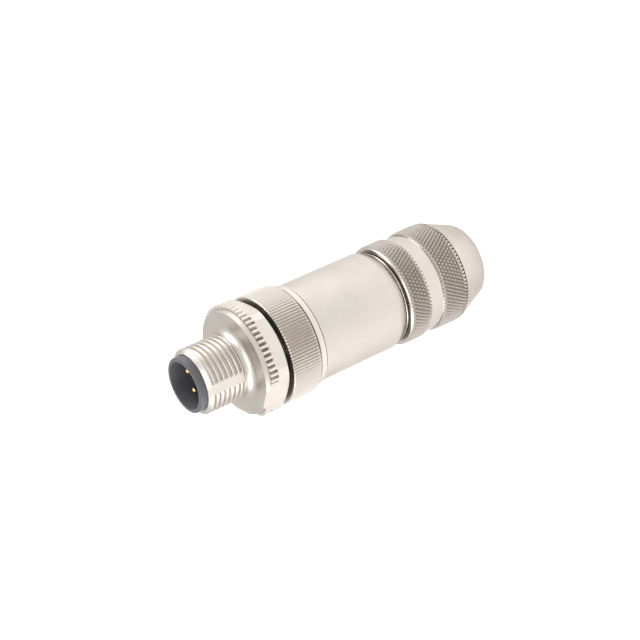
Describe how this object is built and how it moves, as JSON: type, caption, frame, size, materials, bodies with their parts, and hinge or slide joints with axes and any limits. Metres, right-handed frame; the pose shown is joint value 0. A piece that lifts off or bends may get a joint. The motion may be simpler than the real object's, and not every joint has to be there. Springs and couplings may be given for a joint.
{
  "type": "field-attachable plug connector",
  "caption": "Round screened metal plug with a threaded locking ring, recessed pins, a knurled collar and a screw gland for the cable.",
  "frame": {"origin": "centre of the cable-end face of the gland nut, which the plug stands on", "axes": "+Z along the plug's axis towards the pins; pins lie 30, 120, 210 and 300 degrees from +X"},
  "size_m": [0.0208, 0.0206, 0.0615],
  "materials": {
    "satin_nickel": "satin nickel plate on cast or turned metal",
    "black_plastic": "matte moulded plastic",
    "gold_contact": "gold plate",
    "screw_steel": "zinc plate",
    "spring_steel": "bright spring steel",
    "seal_rubber": "soft matte rubber",
    "liner_plastic": "natural plastic",
    "cage_plastic": "matte moulded plastic"
  },
  "bodies": {
    "housing": {"housing_sleeve": "satin_nickel", "insulating_liner": "liner_plastic", "shield_ring": "satin_nickel", "shield_clamp": "satin_nickel", "cable_seal": "seal_rubber"},
    "insert": {"contact_carrier": "black_plastic", "contact_1": "gold_contact", "contact_2": "gold_contact", "contact_3": "gold_contact", "contact_4": "gold_contact", "terminal_screws": "screw_steel", "insert_seal": "seal_rubber", "retaining_ring": "spring_steel", "contact_spring": "spring_steel"},
    "collar": {"knurled_collar": "satin_nickel"},
    "locking_ring": {"locking_ring": "satin_nickel"},
    "cage": {"clamp_cage": "cage_plastic"},
    "gland_nut": {"gland_nut": "satin_nickel"}
  },
  "joints": [
    {"name": "insert_slide", "type": "slide", "parent": "housing", "child": "insert", "axis": [0, 0, 1], "range_m": [0, 0.004]},
    {"name": "collar_turn", "type": "hinge", "parent": "insert", "child": "collar", "pos_m": [0, 0, 0.042], "axis": [0, 0, 1], "range_deg": [0, 1440]},
    {"name": "locking_ring_turn", "type": "hinge", "parent": "insert", "child": "locking_ring", "pos_m": [0, 0, 0.055], "axis": [0, 0, 1], "continuous": true},
    {"name": "cage_slide", "type": "slide", "parent": "housing", "child": "cage", "axis": [0, 0, -1], "range_m": [0, 0.009]},
    {"name": "gland_turn", "type": "hinge", "parent": "cage", "child": "gland_nut", "pos_m": [0, 0, 0.01], "axis": [0, 0, -1], "range_deg": [0, 3240]}
  ],
  "couplings": [
    {"joint": "collar_turn", "follows": "insert_slide", "rad_per_m": 6283.2},
    {"joint": "gland_turn", "follows": "cage_slide", "rad_per_m": 6283.2}
  ]
}
